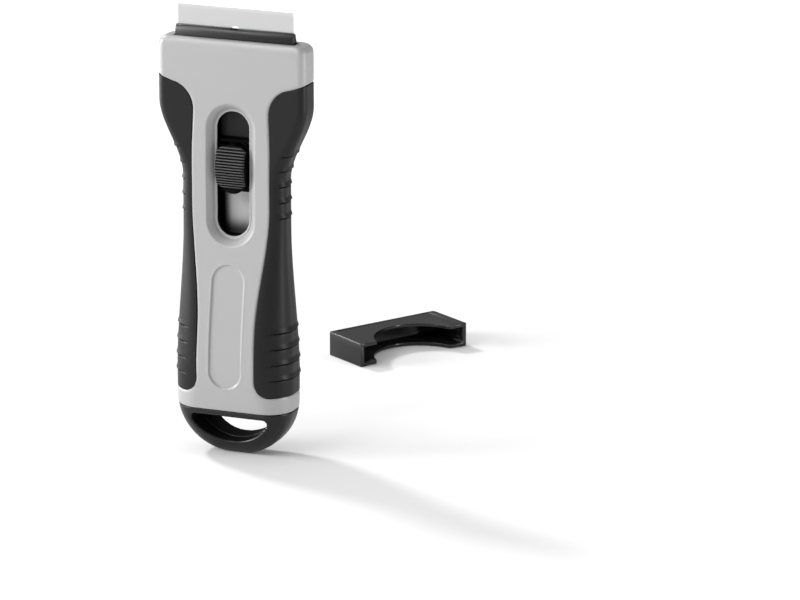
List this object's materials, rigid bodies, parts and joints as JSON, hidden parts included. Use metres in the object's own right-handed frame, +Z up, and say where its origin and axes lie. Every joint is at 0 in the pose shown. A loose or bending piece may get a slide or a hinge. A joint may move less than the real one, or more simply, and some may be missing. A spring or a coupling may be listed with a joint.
{
  "type": "ceramic hob scraper",
  "caption": "Hand scraper with soft grips, a sliding carrier that draws its single-edge blade in, a ribbed thumb button, a hanging hole and a loose blade guard.",
  "frame": {"origin": "middle of the small flat at the foot of the end cap, on the plane of the blade", "axes": "+Z up along the handle to the cutting edge, -Y out of the front with the thumb button, +X to the right as seen from the front"},
  "size_m": [0.0503, 0.1577, 0.1438],
  "materials": {
    "front_shell": "satin moulded plastic",
    "back_shell": "satin moulded plastic",
    "grip_left": "soft matt elastomer",
    "grip_right": "soft matt elastomer",
    "end_cap": "glossy moulded plastic",
    "housing_screws": "zinc plated",
    "blade_carrier": "moulded plastic",
    "jaw_cover": "glossy moulded plastic",
    "blade": "bright ground steel",
    "lock_spring": "spring steel",
    "thumb_button": "moulded plastic",
    "blade_guard": "moulded plastic"
  },
  "bodies": {
    "handle": {"front_shell": "front_shell", "back_shell": "back_shell", "grip_left": "grip_left", "grip_right": "grip_right", "end_cap": "end_cap", "housing_screws": "housing_screws"},
    "slider": {"blade_carrier": "blade_carrier", "jaw_cover": "jaw_cover", "blade": "blade", "lock_spring": "lock_spring"},
    "button": {"thumb_button": "thumb_button"},
    "guard": {"blade_guard": "blade_guard"}
  },
  "joints": [
    {"name": "blade_slide", "type": "slide", "parent": "handle", "child": "slider", "axis": [0, 0, 1], "range_m": [-0.0135, 0.0085], "deforming": ["lock_spring"]},
    {"name": "button_press", "type": "slide", "parent": "slider", "child": "button", "axis": [0, 1, 0], "range_m": [0, 0.001], "stiffness_N_per_m": 1500, "springref_m": -0.001, "deforming": ["lock_spring"]},
    {"name": "guard_lift", "type": "slide", "parent": "handle", "child": "guard", "axis": [0, 0, 1], "range_m": [0, 0.03]}
  ]
}
